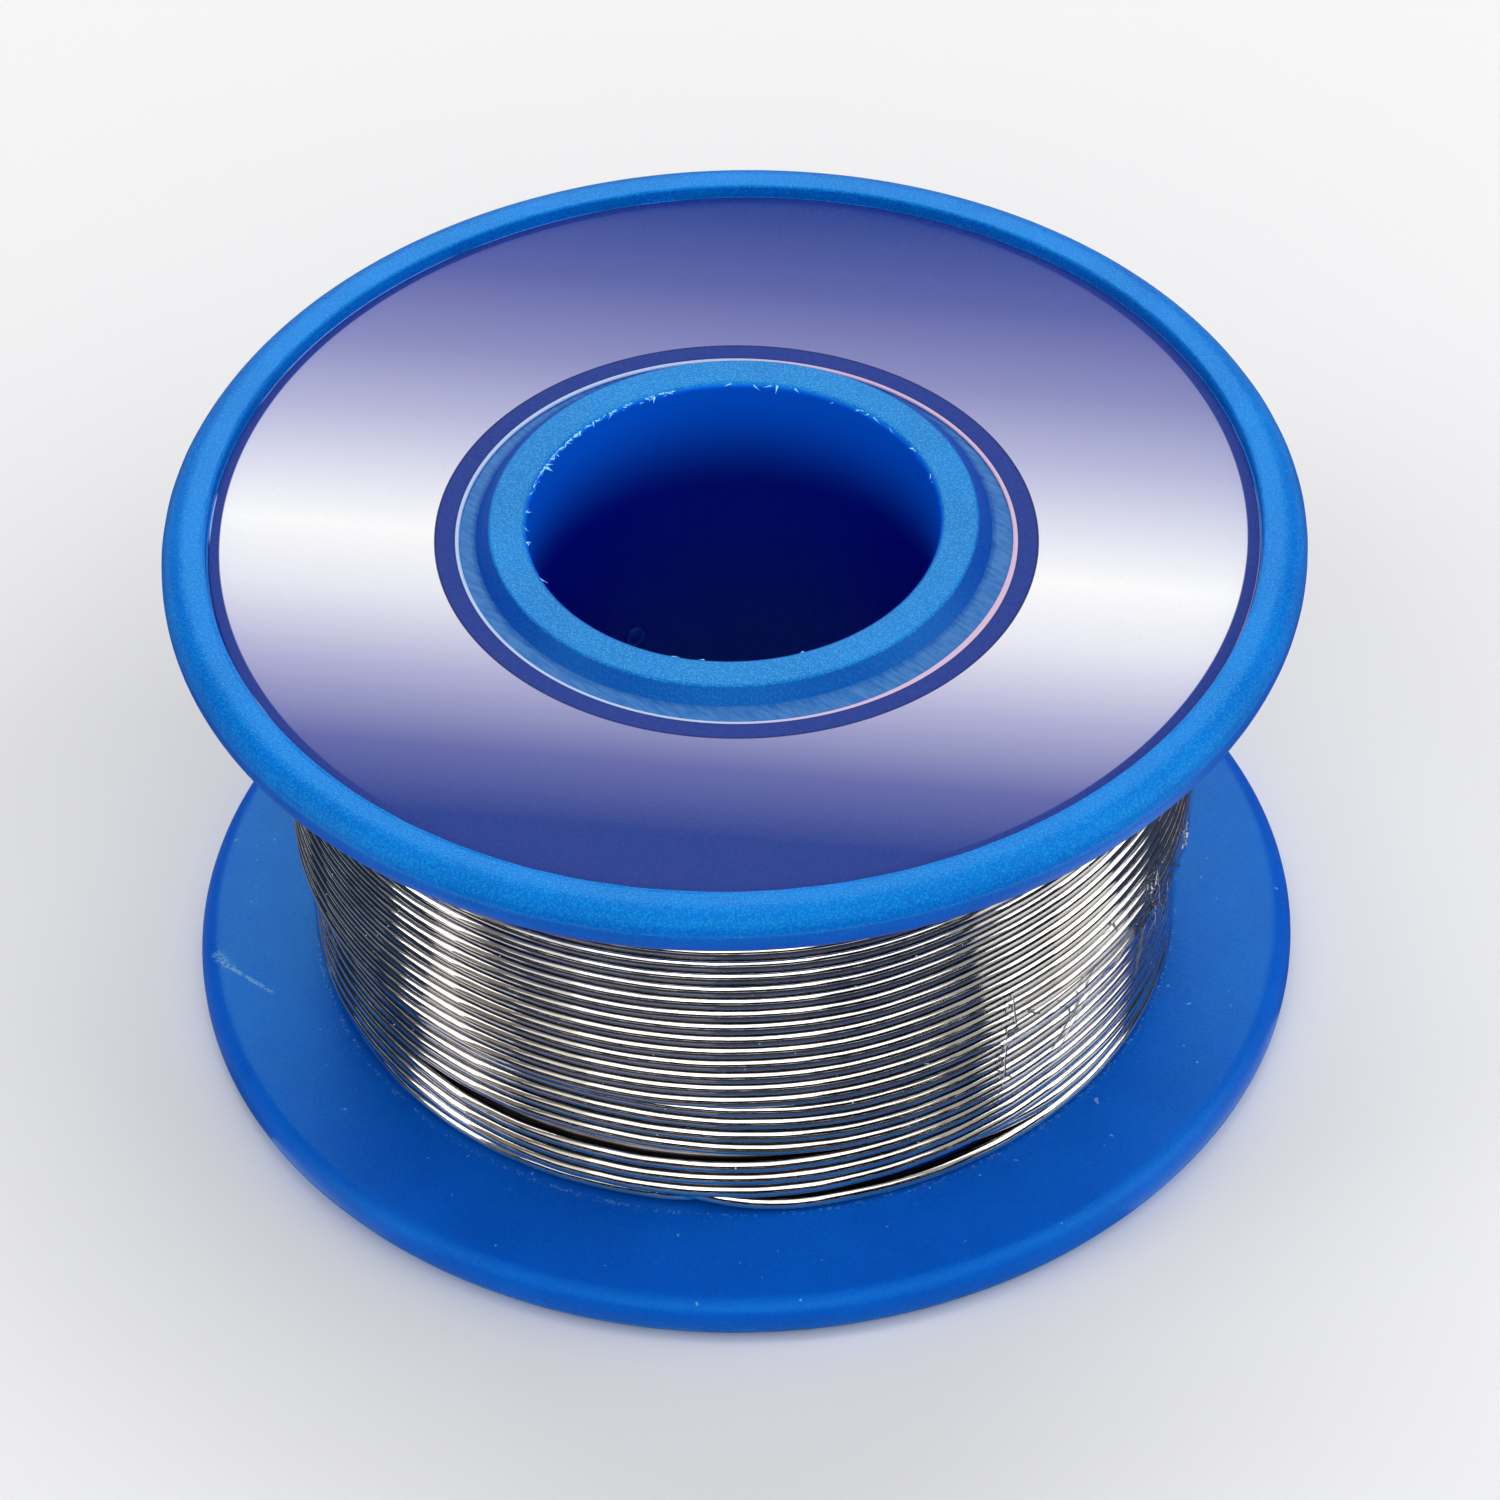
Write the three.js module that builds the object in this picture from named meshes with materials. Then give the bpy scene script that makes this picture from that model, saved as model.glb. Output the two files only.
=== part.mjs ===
// A small spool of solder wire: one moulded spool, a paper face label on its upper flange,
// the wound wire, and the strip of clear tape that holds down the wire's free end.
// Millimetres, +Z up along the spool's axis, the lower flange standing on z = 0.

import * as THREE from 'three';

// Driving dimensions of the moulded spool.
const flangeDiameter = 43;
const spoolHeight = 22.2;
const flangeThickness = 1.9;
const flangeRootThickness = 2.4;
const boreDiameter = 15.5;
const boreChamfer = 0.3;
const barrelWall = 1.8;
const rimLipWidth = 1.7;
const recessDepth = 0.6;
const hubRingWall = 1.5;
const rimTopRoundShare = 0.53;
const rimUnderRoundShare = 0.45;
const rimLipBevel = 0.1;
const barrelRootFillet = 0.4;
const hubRingFillet = 0.4;
const hubRingBevel = 0.12;

// Driving dimensions of the face label.
const labelThickness = 0.1;
const labelWallClearance = 0.1;
const labelHubMargin = 0.85;

// Driving dimensions of the winding. The wire is one length. The layer on top is wound from the
// upper flange down to the free end, part of the way along the channel, and below the free end
// the layer under it shows. Everything inside those two layers is a plain ring round the barrel.
const wireDiameter = 0.6;
const turnGap = 0.44;
const topLayerDiameter = 34.8;
const layerRise = 0.56;
const freeEndHeight = 8.95;
const lowerLayerStartDegrees = 170;
const layerSeatClearance = 0.3;
const barrelSeatClearance = 0.3;
const flangeSeatClearance = 0.3;
const straightEnd = wireDiameter;

// Driving dimensions of the tape. Its arc is measured from the front (-Y), turning towards +X.
const tapeWidth = 7;
const tapeBelowFreeEnd = 4.6;
const tapeThickness = 0.1;
const tapeSeatClearance = 0.2;
const tapeStartDegrees = 36.5;
const tapeArcDegrees = 84;
const freeEndUnderTapeDegrees = 2;

// How finely the round forms are divided.
const spoolSegments = 72;
const roundSteps = 4;
const filletSteps = 2;
const stepsPerTurn = 24;
const wireSides = 6;
const tapeSteps = 24;

// Sizes that follow from the driving dimensions.
const flangeRadius = flangeDiameter / 2;
const boreRadius = boreDiameter / 2;
const barrelRadius = boreRadius + barrelWall;
const hubRingRadius = boreRadius + hubRingWall;
const recessRadius = flangeRadius - rimLipWidth;
const halfHeight = spoolHeight / 2;
const rimTopRound = flangeThickness * rimTopRoundShare;
const rimUnderRound = flangeThickness * rimUnderRoundShare;
const underRoundStart = flangeRadius - rimUnderRound;
const wireRadius = wireDiameter / 2;
const turnPitch = wireDiameter + turnGap;
const topLayerRadius = topLayerDiameter / 2 - wireRadius;
const lowerLayerRadius = topLayerRadius - layerRise;
const lowestTurnHeight = seatOnFlange(lowerLayerRadius - wireRadius) + wireRadius;
const highestTurnHeight = spoolHeight - seatOnFlange(topLayerRadius - wireRadius) - wireRadius;
const lowerLayerTopHeight = freeEndHeight - turnPitch;

const plasticBlue = 0x0a6fd0;
const labelInk = 0x8f93c4;
const solderGrey = 0xb9b6b0;
const tapeClear = 0xd9dee4;

// How thick a flange is at a radius. Its inner face has a moulding draft, from the barrel's root
// out to the round under the rim.
function flangeThicknessAt(radius) {
  const share = (underRoundStart - radius) / (underRoundStart - barrelRadius);
  return flangeThickness + (flangeRootThickness - flangeThickness) * Math.max(share, 0);
}

// The height at which wire starts at a radius, just clear of the lower flange's inner face.
function seatOnFlange(radius) {
  return flangeThicknessAt(radius) + flangeSeatClearance;
}

function standard(color, roughness, metalness) {
  return new THREE.MeshStandardMaterial({ color, roughness, metalness });
}

// Points of an arc in a lathe profile, from one angle to another, in degrees.
function arc(centreRadius, centreHeight, radius, fromDegrees, toDegrees, steps) {
  const points = [];
  for (let step = 0; step <= steps; step += 1) {
    const angle = THREE.MathUtils.degToRad(fromDegrees + ((toDegrees - fromDegrees) * step) / steps);
    points.push(
      new THREE.Vector2(
        centreRadius + radius * Math.cos(angle),
        centreHeight + radius * Math.sin(angle),
      ),
    );
  }
  return points;
}

// A solid turned about +Z from a profile of (radius, height) points that closes on itself.
function turned(profile, segments) {
  const geometry = new THREE.LatheGeometry([...profile, profile[0].clone()], segments);
  geometry.rotateX(Math.PI / 2);
  return geometry;
}

// One end of the spool's profile, from the barrel out round the flange and back to the bore.
// Heights are counted from the middle of the spool, because both ends are alike.
function flangeEndProfile() {
  const rootRadius = barrelRadius + barrelRootFillet;
  const rootFace = halfHeight - flangeThicknessAt(rootRadius);
  const rimFace = halfHeight - flangeThickness;
  const recessFloor = halfHeight - recessDepth;
  return [
    ...arc(rootRadius, rootFace - barrelRootFillet, barrelRootFillet, 180, 90, filletSteps),
    ...arc(underRoundStart, rimFace + rimUnderRound, rimUnderRound, -90, 0, roundSteps),
    ...arc(flangeRadius - rimTopRound, halfHeight - rimTopRound, rimTopRound, 0, 90, roundSteps),
    new THREE.Vector2(recessRadius + rimLipBevel, halfHeight),
    new THREE.Vector2(recessRadius, halfHeight - rimLipBevel),
    new THREE.Vector2(recessRadius, recessFloor),
    ...arc(
      hubRingRadius + hubRingFillet,
      recessFloor + hubRingFillet,
      hubRingFillet,
      270,
      180,
      filletSteps,
    ),
    new THREE.Vector2(hubRingRadius, halfHeight - hubRingBevel),
    new THREE.Vector2(hubRingRadius - hubRingBevel, halfHeight),
    new THREE.Vector2(boreRadius + boreChamfer, halfHeight),
    new THREE.Vector2(boreRadius, halfHeight - boreChamfer),
  ];
}

function makeSpool() {
  const upper = flangeEndProfile();
  const lower = upper.map((point) => new THREE.Vector2(point.x, -point.y)).reverse();
  const spool = new THREE.Mesh(turned([...upper, ...lower], spoolSegments), standard(plasticBlue, 0.45, 0));
  spool.name = 'spool';
  spool.position.z = halfHeight;
  return spool;
}

// A flat ring of printed paper that lies on the floor of the upper flange's recess.
function makeFaceLabel() {
  const innerRadius = hubRingRadius + hubRingFillet + labelHubMargin;
  const outerRadius = recessRadius - labelWallClearance;
  const profile = [
    new THREE.Vector2(innerRadius, 0),
    new THREE.Vector2(outerRadius, 0),
    new THREE.Vector2(outerRadius, labelThickness),
    new THREE.Vector2(innerRadius, labelThickness),
  ];
  const label = new THREE.Mesh(turned(profile, spoolSegments), standard(labelInk, 0.4, 0));
  label.name = 'face_label';
  label.position.z = spoolHeight - recessDepth;
  return label;
}

// The least gap between neighbouring turns, from the points of the wire's centreline.
function leastGapToItself(path) {
  let least = Infinity;
  for (let first = 0; first < path.length; first += 1) {
    for (let second = first + stepsPerTurn / 2; second < path.length; second += 1) {
      least = Math.min(least, path[first].distanceTo(path[second]));
    }
  }
  return least - wireDiameter;
}

// The centreline of one layer: a helix of straight steps that turns about +Z from one height to
// another, as many turns as fit there. It passes the given angle at the given end, and a straight
// stretch of one wire diameter, in line with the winding, carries each end on to its square cut.
function layerPath({ radius, fromHeight, toHeight, fixedEnd, fixedDegrees }) {
  const steps = Math.round((Math.abs(toHeight - fromHeight) / turnPitch) * stepsPerTurn);
  const fixedStep = fixedEnd === 'finish' ? steps : 0;
  const fixedAngle = THREE.MathUtils.degToRad(fixedDegrees);
  const path = [];
  for (let step = 0; step <= steps; step += 1) {
    const angle = fixedAngle + ((step - fixedStep) * 2 * Math.PI) / stepsPerTurn;
    const height = fromHeight + ((toHeight - fromHeight) * step) / steps;
    path.push(new THREE.Vector3(radius * Math.sin(angle), -radius * Math.cos(angle), height));
  }
  const ahead = tangentAt(path[steps]).multiplyScalar(straightEnd);
  const behind = tangentAt(path[0]).multiplyScalar(-straightEnd);
  return [path[0].clone().add(behind), ...path, path[steps].clone().add(ahead)];
}

// The direction of a turn at a point of the winding, square to the radius there.
function tangentAt(point) {
  return new THREE.Vector3(-point.y, point.x, 0).normalize();
}

// A closed tube along the wire's centreline. Each ring of points stands on the spool's radius,
// and the two end rings keep their neighbour's radius, so that the ends are cut square.
function wireGeometry(path) {
  const vertices = [];
  const faces = [];
  const last = path.length - 1;
  path.forEach((point, index) => {
    const guide = path[Math.min(Math.max(index, 1), last - 1)];
    const outward = new THREE.Vector3(guide.x, guide.y, 0).normalize();
    for (let side = 0; side < wireSides; side += 1) {
      const angle = (side * 2 * Math.PI) / wireSides;
      const reach = wireRadius * Math.cos(angle);
      vertices.push(
        point.x + outward.x * reach,
        point.y + outward.y * reach,
        point.z + wireRadius * Math.sin(angle),
      );
    }
  });
  const corner = (ring, side) => ring * wireSides + (side % wireSides);
  for (let ring = 0; ring < last; ring += 1) {
    for (let side = 0; side < wireSides; side += 1) {
      faces.push(corner(ring, side), corner(ring + 1, side), corner(ring + 1, side + 1));
      faces.push(corner(ring, side), corner(ring + 1, side + 1), corner(ring, side + 1));
    }
  }
  for (let side = 1; side < wireSides - 1; side += 1) {
    faces.push(corner(0, 0), corner(0, side), corner(0, side + 1));
    faces.push(corner(last, 0), corner(last, side + 1), corner(last, side));
  }
  const geometry = new THREE.BufferGeometry();
  geometry.setAttribute('position', new THREE.Float32BufferAttribute(vertices, 3));
  geometry.setIndex(faces);
  geometry.computeVertexNormals();
  return geometry;
}

// The inner layers as one plain ring, a step wider where the top layer lies over it. A turn of
// straight steps dips towards the ring between its points, so the ring stays clear of the dips.
function makeInnerLayers() {
  const facetShare = Math.cos(Math.PI / stepsPerTurn);
  const wideRadius = topLayerRadius * facetShare - wireRadius - layerSeatClearance;
  const narrowRadius = lowerLayerRadius * facetShare - wireRadius - layerSeatClearance;
  const innerRadius = barrelRadius + barrelSeatClearance;
  const stepHeight = freeEndHeight - turnPitch / 2;
  const profile = [
    new THREE.Vector2(innerRadius, seatOnFlange(innerRadius)),
    new THREE.Vector2(narrowRadius, seatOnFlange(narrowRadius)),
    new THREE.Vector2(narrowRadius, stepHeight),
    new THREE.Vector2(wideRadius, stepHeight),
    new THREE.Vector2(wideRadius, spoolHeight - seatOnFlange(wideRadius)),
    new THREE.Vector2(innerRadius, spoolHeight - seatOnFlange(innerRadius)),
  ];
  const layers = new THREE.Mesh(turned(profile, spoolSegments), standard(solderGrey, 0.35, 0.9));
  layers.name = 'solder_inner_layers';
  return layers;
}

function makeWoundLayer(name, path) {
  const gap = leastGapToItself(path);
  console.log(`${name}: least gap to itself ${gap.toFixed(3)} mm`);
  const layer = new THREE.Mesh(wireGeometry(path), standard(solderGrey, 0.3, 0.9));
  layer.name = name;
  return layer;
}

// The layer under the top one, wound upwards from the lower flange, where it shows.
function makeLowerLayer() {
  const path = layerPath({
    radius: lowerLayerRadius,
    fromHeight: lowestTurnHeight,
    toHeight: lowerLayerTopHeight,
    fixedEnd: 'start',
    fixedDegrees: lowerLayerStartDegrees,
  });
  return makeWoundLayer('solder_lower_layer', path);
}

// The top layer, wound downwards from the upper flange to the wire's free end.
function makeTopLayer() {
  const path = layerPath({
    radius: topLayerRadius,
    fromHeight: highestTurnHeight,
    toHeight: freeEndHeight,
    fixedEnd: 'finish',
    fixedDegrees: tapeStartDegrees + freeEndUnderTapeDegrees,
  });
  return makeWoundLayer('solder_top_layer', path);
}

// A strip of clear tape bent round the winding, over the wire's free end. It follows the step
// down from the top layer to the lower one, at the same clearance from both.
function makeEndTape() {
  const reach = wireRadius + tapeSeatClearance;
  const foot = freeEndHeight - tapeBelowFreeEnd;
  const profile = [
    new THREE.Vector2(lowerLayerRadius + reach, foot),
    new THREE.Vector2(lowerLayerRadius + reach, lowerLayerTopHeight),
    new THREE.Vector2(topLayerRadius + reach, freeEndHeight),
    new THREE.Vector2(topLayerRadius + reach, foot + tapeWidth),
  ];
  const strip = sweptStrip(profile, tapeThickness, tapeStartDegrees, tapeArcDegrees);
  const tape = new THREE.Mesh(strip, standard(tapeClear, 0.2, 0));
  tape.name = 'end_tape';
  return tape;
}

// A thin strip swept round +Z: the profile's (radius, height) points are its inner face, and its
// outer face lies one thickness further out. Its four edges are closed.
function sweptStrip(profile, thickness, startDegrees, arcDegrees) {
  const rows = profile.length;
  const vertices = [];
  const faces = [];
  for (let step = 0; step <= tapeSteps; step += 1) {
    const angle = THREE.MathUtils.degToRad(startDegrees + (arcDegrees * step) / tapeSteps);
    for (const outward of [0, thickness]) {
      for (const point of profile) {
        const radius = point.x + outward;
        vertices.push(radius * Math.sin(angle), -radius * Math.cos(angle), point.y);
      }
    }
  }
  const inner = (step, row) => step * 2 * rows + row;
  const outer = (step, row) => inner(step, row) + rows;
  const quad = (a, b, c, d) => faces.push(a, b, c, a, c, d);
  for (let step = 0; step < tapeSteps; step += 1) {
    for (let row = 0; row < rows - 1; row += 1) {
      quad(outer(step, row), outer(step + 1, row), outer(step + 1, row + 1), outer(step, row + 1));
      quad(inner(step, row), inner(step, row + 1), inner(step + 1, row + 1), inner(step + 1, row));
    }
    quad(inner(step, 0), inner(step + 1, 0), outer(step + 1, 0), outer(step, 0));
    const top = rows - 1;
    quad(outer(step, top), outer(step + 1, top), inner(step + 1, top), inner(step, top));
  }
  for (let row = 0; row < rows - 1; row += 1) {
    quad(inner(0, row), outer(0, row), outer(0, row + 1), inner(0, row + 1));
    const end = tapeSteps;
    quad(inner(end, row), inner(end, row + 1), outer(end, row + 1), outer(end, row));
  }
  const geometry = new THREE.BufferGeometry();
  geometry.setAttribute('position', new THREE.Float32BufferAttribute(vertices, 3));
  geometry.setIndex(faces);
  geometry.computeVertexNormals();
  return geometry;
}

const solderSpool = new THREE.Group();
solderSpool.name = 'solder_spool';
solderSpool.add(
  makeSpool(),
  makeFaceLabel(),
  makeInnerLayers(),
  makeLowerLayer(),
  makeTopLayer(),
  makeEndTape(),
);

export default solderSpool;
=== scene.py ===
import math

import bpy
import numpy as np
from mathutils import Matrix, Vector


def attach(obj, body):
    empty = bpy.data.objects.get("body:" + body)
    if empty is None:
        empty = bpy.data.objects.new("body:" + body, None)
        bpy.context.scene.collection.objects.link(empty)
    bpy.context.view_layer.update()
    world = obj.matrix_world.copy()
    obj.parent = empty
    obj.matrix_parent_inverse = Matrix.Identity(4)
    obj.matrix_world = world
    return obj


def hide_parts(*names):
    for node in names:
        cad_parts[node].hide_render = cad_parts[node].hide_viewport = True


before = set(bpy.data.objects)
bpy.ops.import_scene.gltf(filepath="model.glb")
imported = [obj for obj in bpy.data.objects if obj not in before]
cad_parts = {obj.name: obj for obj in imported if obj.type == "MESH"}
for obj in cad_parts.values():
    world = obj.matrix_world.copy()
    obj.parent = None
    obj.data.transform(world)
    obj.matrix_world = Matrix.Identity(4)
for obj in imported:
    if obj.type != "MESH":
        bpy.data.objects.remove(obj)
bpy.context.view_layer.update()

# Lengths are millimetres until a mesh is made, and azimuths are degrees from the front (-Y)
# towards +X.
MM = 0.001

# The moulded spool.
FLANGE_RADIUS = 21.5
SPOOL_HEIGHT = 22.2
HALF_HEIGHT = SPOOL_HEIGHT / 2
FLANGE_THICKNESS = 1.9
FLANGE_ROOT_THICKNESS = 2.4
BORE_RADIUS = 7.75
BORE_CHAMFER = 0.22
BARREL_RADIUS = 9.55
HUB_RING_RADIUS = 9.22
HUB_FOOT_RADIUS = 9.68
HUB_SHOULDER = 0.13
RECESS_RADIUS = 19.8
RECESS_DEPTH = 0.6
RIM_BODY_RADIUS = FLANGE_RADIUS - 0.03
RIM_TOP_ROUND = 1.0
RIM_UNDER_ROUND = 0.85
RIM_TOP_DROP = 0.035
PARTING_LINE_DROP = 0.75
RIDGE_REACH = 0.032
RIDGE_SPREAD = 2.4
BURR_AZIMUTH = -40
BURR_SPREAD = 38
ROOT_FILLET = 0.4
SPOOL_SEGMENTS = 360
SEGMENT_AZIMUTHS = np.arange(SPOOL_SEGMENTS) * 360 / SPOOL_SEGMENTS

# The pip on the bore's wall where the plastic ran in: azimuth in radians, height, the radii and
# heights of its rings, and the height of its tip.
GATE_TURN = math.atan2(-4.0, -6.6)
GATE_HEIGHT = 10.3
GATE_RINGS = ((0.5, 0.0), (0.46, 0.07), (0.36, 0.1), (0.2, 0.05))
GATE_TIP = 0.04
GATE_SIDES = 20

# Slivers of flash round the bore's edge, each a three-cornered base and a tip: first and last
# azimuth of each cluster and its number of slivers.
FLECK_CLUSTERS = ((-166, -106, 90), (-106, -60, 8), (92, 150, 16), (150, 190, 5), (-25, 20, 5))
FLECK_CEILING = SPOOL_HEIGHT - 0.004
FLECK_FACES = ((0, 2, 1), (0, 1, 3), (1, 2, 3), (2, 0, 3))

# The face label. The shift is how far its hole and the printed ring lie from true, as shares of
# the cosine and sine of the azimuth and of twice it. The hole's pale edge is wider near one azimuth.
LABEL_THICKNESS = 0.1
LABEL_INNER_RADIUS = 10.26
LABEL_OUTER_RADIUS = 19.7
HOLE_SHIFT = (0.43, 0.07, -0.12, 0.15)
HOLE_SHIFT_END = 14.0
PALE_EDGE_WIDTH = 0.12
PALE_EDGE_AZIMUTH = 55
PALE_EDGE_SPREAD = 28

# The winding.
WIRE_RADIUS = 0.3
TURN_PITCH = 0.656
TOP_PITCH = 0.65
TOP_RADIUS = 17.1
TOP_TURNS = 18
TOP_FIRST_HEIGHT = 8.63
LOWER_RADIUS = 16.58
LAYER_START = -118.0
LOWER_END_AZIMUTH = 100.0
FREE_END_AZIMUTH = 35.4
CORE_RIB_RADIUS = 15.98
FLUX_CORE_SHARE = 0.3
SHAKE_COUNTS = (5.3, 11.7, 23.1, 41.9)
SHAKE = 0.011
STEPS_PER_TURN = 180
WIRE_SIDES = 14

# The tape.
TAPE_START = 33.2
TAPE_ARC = 87.3
TAPE_FOOT = 4.35
TAPE_WIDTH = 7.0
TAPE_CLEARANCE = 0.06
TAPE_THICKNESS = 0.06
TAPE_STEP_FOOT = 7.75
TAPE_STEP_HEIGHT = 1.25
TAPE_COLUMNS = 260
TAPE_ROWS = 80

# The camera, fitted to the photograph's rims, bore and hub ring. Angles are degrees.
CAMERA_PLACE = (0.347, -195.34, 195.2)
CAMERA_LENS = 167.256
CAMERA_TILT = 43.436
CAMERA_PAN = 0.005
CAMERA_ROLL = 1.694


# Meshes.

UP = np.array([0.0, 0.0, 1.0])


def link_new(name, data):
    made = bpy.data.objects.new(name, data)
    bpy.context.scene.collection.objects.link(made)
    return made


def mesh_object(name, points, faces):
    """A new smooth mesh object from points in millimetres."""
    mesh = bpy.data.meshes.new(name)
    scaled = np.asarray(points, dtype=float).reshape(-1, 3) * MM
    mesh.from_pydata(scaled.tolist(), [], faces)
    mesh.polygons.foreach_set("use_smooth", [True] * len(mesh.polygons))
    return link_new(name, mesh)


def paint(piece, materials, others=None):
    """Gives a piece its materials. The first covers all faces but those that others lists by the
    number of their material."""
    for material in materials:
        piece.data.materials.append(material)
    numbers = np.zeros(len(piece.data.polygons), dtype=int)
    for number, faces in (others or {}).items():
        numbers[list(faces)] = number
    piece.data.polygons.foreach_set("material_index", numbers.tolist())


def arc(centre_radius, centre_height, radius, start, end, steps):
    """Points of an arc in a lathe profile, angles in degrees."""
    angles = np.radians(np.linspace(start, end, steps + 1))
    across = centre_radius + radius * np.cos(angles)
    up = centre_height + radius * np.sin(angles)
    return list(zip(across.tolist(), up.tolist()))


def between(start, end, shares):
    """Points of a straight stretch of a profile, at shares of its length."""
    run = end[0] - start[0]
    rise = end[1] - start[1]
    return [(start[0] + run * share, start[1] + rise * share) for share in shares]


def ring_faces(rings, sides, closed=False):
    """Faces between neighbouring rings of points, and from the last ring to the first if closed."""
    faces = []
    for ring in range(rings if closed else rings - 1):
        here = ring * sides
        there = (ring + 1) % rings * sides
        for side in range(sides):
            after = (side + 1) % sides
            faces.append((here + side, there + side, there + after, here + after))
    return faces


def around(turns, radii, heights):
    """Points at azimuths in radians, radii and heights."""
    parts = np.broadcast_arrays(np.sin(turns) * radii, -np.cos(turns) * radii, heights)
    return np.stack(parts, axis=-1)


def lathe(profile, segments):
    """Points and faces of a closed profile turned about +Z. The profile runs anticlockwise, seen
    with the radius to the right and the height up."""
    turns = np.arange(segments) * math.tau / segments
    radii, heights = np.array(profile).T
    return around(turns[:, None], radii, heights), ring_faces(segments, len(profile), closed=True)


def axes_at(azimuth):
    """Unit vectors outwards and sideways at an azimuth in radians."""
    out = np.array([math.sin(azimuth), -math.cos(azimuth), 0.0])
    side = np.array([math.cos(azimuth), math.sin(azimuth), 0.0])
    return out, side


def waves(azimuths, seed, counts, amplitude):
    """A smooth curve of the azimuth, the sum of seeded sine waves."""
    source = np.random.default_rng(seed)
    total = np.zeros_like(azimuths, dtype=float)
    for count in counts:
        phase = source.uniform(0, math.tau)
        weight = source.uniform(0.4, 1.0)
        total += weight * np.sin(np.radians(azimuths) * count + phase)
    return amplitude * total / math.sqrt(len(counts))


def smoothstep(values):
    clipped = np.clip(values, 0.0, 1.0)
    return clipped * clipped * (3 - 2 * clipped)


# The spool.

def flange_thickness_at(radius):
    """A flange's thickness where its inner face has the moulding draft."""
    rim = FLANGE_RADIUS - FLANGE_THICKNESS * 0.45
    share = max((rim - radius) / (rim - BARREL_RADIUS), 0)
    return FLANGE_THICKNESS + (FLANGE_ROOT_THICKNESS - FLANGE_THICKNESS) * share


def flange_end_profile():
    """One end of the spool's profile, from the barrel round the rim to the bore, with heights from
    the spool's middle. Returns the points and the rows of the parting line's ridge and the burr."""
    root_radius = BARREL_RADIUS + ROOT_FILLET
    root_face = HALF_HEIGHT - flange_thickness_at(root_radius)
    rim_face = HALF_HEIGHT - FLANGE_THICKNESS
    rim_top = HALF_HEIGHT - RIM_TOP_DROP
    floor = HALF_HEIGHT - RECESS_DEPTH
    under_centre = RIM_BODY_RADIUS - RIM_UNDER_ROUND
    top_centre = RIM_BODY_RADIUS - RIM_TOP_ROUND
    round_height = rim_top - RIM_TOP_ROUND
    ridge_rise = HALF_HEIGHT - PARTING_LINE_DROP - rim_top + RIM_TOP_ROUND
    ridge = math.degrees(math.asin(ridge_rise / RIM_TOP_ROUND))
    points = arc(root_radius, root_face - ROOT_FILLET, ROOT_FILLET, 180, 90, 8)
    points += between((root_radius, root_face), (under_centre, rim_face),
                      (0.02, 0.1, 0.3, 0.5, 0.7, 0.85, 0.95))
    points += arc(under_centre, rim_face + RIM_UNDER_ROUND, RIM_UNDER_ROUND, -90, 0, 12)
    points += arc(top_centre, round_height, RIM_TOP_ROUND, 3, ridge - RIDGE_SPREAD, 2)
    ridge_row = len(points)
    points += arc(top_centre, round_height, RIM_TOP_ROUND, ridge, ridge, 0)
    points += arc(top_centre, round_height, RIM_TOP_ROUND, ridge + RIDGE_SPREAD, 90, 12)
    lip = RECESS_RADIUS + 0.1
    points += between((top_centre, rim_top), (lip + 0.04, rim_top), (0.15, 0.85, 1.0))
    burr_row = len(points)
    points += [(lip, rim_top), (lip - 0.04, rim_top)]
    points += [(RECESS_RADIUS + 0.01, rim_top - 0.06), (RECESS_RADIUS, rim_top - 0.12)]
    points += between((RECESS_RADIUS, rim_top - 0.12), (RECESS_RADIUS, floor + 0.06), (0.5, 1.0))
    points += arc(RECESS_RADIUS - 0.05, floor + 0.05, 0.05, 0, -90, 3)
    points += between((RECESS_RADIUS - 0.05, floor), (HUB_FOOT_RADIUS + 0.05, floor),
                      (0.02, 0.25, 0.5, 0.75, 0.98))
    cone_foot = (HUB_FOOT_RADIUS - 0.02, floor + 0.05)
    points += [(HUB_FOOT_RADIUS + 0.012, floor + 0.012), cone_foot]
    hub_top = HALF_HEIGHT - 0.01
    shoulder_centre = HUB_RING_RADIUS - HUB_SHOULDER
    shoulder = arc(shoulder_centre, hub_top - HUB_SHOULDER, HUB_SHOULDER, 42, 90, 5)
    points += between(cone_foot, shoulder[0], (0.3, 0.6, 0.9))
    points += shoulder
    chamfer = BORE_RADIUS + BORE_CHAMFER
    points += between((shoulder_centre, hub_top), (chamfer, hub_top), (0.1, 0.5, 0.9))
    points += arc(chamfer, hub_top - BORE_CHAMFER, BORE_CHAMFER, 90, 180, 6)
    points += [(BORE_RADIUS, hub_top - BORE_CHAMFER - 0.15), (BORE_RADIUS, HALF_HEIGHT * 0.5)]
    return points, ridge_row, burr_row


def shape_ridge(grid, row, seed):
    """Pushes the parting line's row out, by an amount that varies round the rim."""
    reach = RIDGE_REACH + waves(SEGMENT_AZIMUTHS, seed, (3, 7, 13, 29, 47), 0.008)
    radii = np.hypot(grid[:, row, 0], grid[:, row, 1])
    wanted = np.minimum(radii + reach, FLANGE_RADIUS - 0.002)
    grid[:, row, :2] *= (wanted / radii)[:, None]


def shape_burr(grid, row, seed, up):
    """Raises the burr on the rim's lip, highest to the left of the front."""
    signed = (SEGMENT_AZIMUTHS + 180) % 360 - 180
    strong = 0.4 + 0.6 * np.exp(-((signed - BURR_AZIMUTH) / BURR_SPREAD) ** 2)
    height = 0.016 + waves(SEGMENT_AZIMUTHS, seed, (17, 31, 53, 71, 97), 0.016)
    height = np.clip(height * strong * 1.6, 0.0, RIM_TOP_DROP - 0.002)
    grid[:, row, 2] += up * height
    grid[:, row + 1, 2] += up * height * 0.6


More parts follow.
